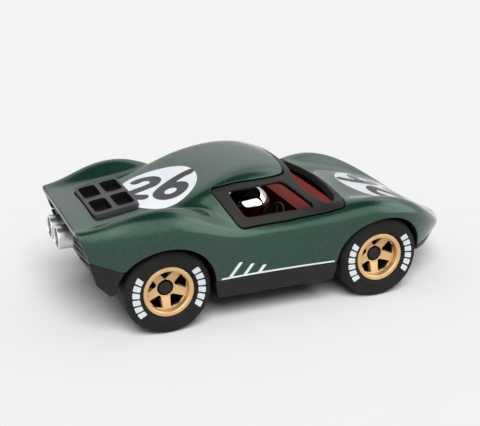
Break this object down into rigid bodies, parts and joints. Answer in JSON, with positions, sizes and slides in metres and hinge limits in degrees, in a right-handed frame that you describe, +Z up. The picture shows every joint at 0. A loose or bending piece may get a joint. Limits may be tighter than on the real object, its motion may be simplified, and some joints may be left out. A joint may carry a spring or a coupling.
{
  "type": "diecast collector car",
  "caption": "Desk-size stylised two-seat racing coupe with open windows, a helmeted driver, a vented rear deck, paired exhausts and rolling spoked wheels.",
  "frame": {"origin": "on the ground under the middle of the overall box", "axes": "+X towards the nose along the car's length, +Y to the car's left side, +Z up"},
  "size_m": [0.275, 0.1284, 0.0943],
  "materials": {
    "paint_green": "deep green metallic paint with fine flake under a gloss clear coat, with white marks",
    "frame_black": "satin charcoal moulding",
    "charcoal": "satin charcoal, nearly black",
    "vent_slate": "satin slate grey",
    "interior_red": "satin brick red",
    "suit_black": "satin black",
    "helmet_chrome": "polished",
    "exhaust_silver": "satin with bright rims",
    "rim_gold": "satin champagne gold",
    "tyre_rubber": "matte dark grey rubber with white marks",
    "trim_black": "satin black",
    "steel": "brushed"
  },
  "bodies": {
    "body": {"body_shell": "paint_green", "greenhouse_frame": "frame_black", "chassis_pan": "charcoal", "rear_fascia": "charcoal", "rear_vent_plate": "vent_slate", "interior_tub": "interior_red", "driver_seat": "interior_red", "driver_torso": "suit_black", "driver_helmet": "helmet_chrome", "exhaust_right": "exhaust_silver", "exhaust_left": "exhaust_silver", "steering_wheel": "trim_black", "steering_column": "trim_black", "base_screw_1": "steel", "base_screw_2": "steel", "base_screw_3": "steel", "base_screw_4": "steel"},
    "rear_wheels": {"rear_axle": "steel", "rear_left_tyre": "tyre_rubber", "rear_left_rim": "rim_gold", "rear_left_hub_cap": "trim_black", "rear_right_tyre": "tyre_rubber", "rear_right_rim": "rim_gold", "rear_right_hub_cap": "trim_black"},
    "front_wheels": {"front_axle": "steel", "front_left_tyre": "tyre_rubber", "front_left_rim": "rim_gold", "front_left_hub_cap": "trim_black", "front_right_tyre": "tyre_rubber", "front_right_rim": "rim_gold", "front_right_hub_cap": "trim_black"}
  },
  "joints": [
    {"name": "rear_axle_spin", "type": "hinge", "parent": "body", "child": "rear_wheels", "pos_m": [-0.0805, 0, 0.0276], "axis": [0, 1, 0], "continuous": true},
    {"name": "front_axle_spin", "type": "hinge", "parent": "body", "child": "front_wheels", "pos_m": [0.0645, 0, 0.0276], "axis": [0, 1, 0], "continuous": true}
  ]
}
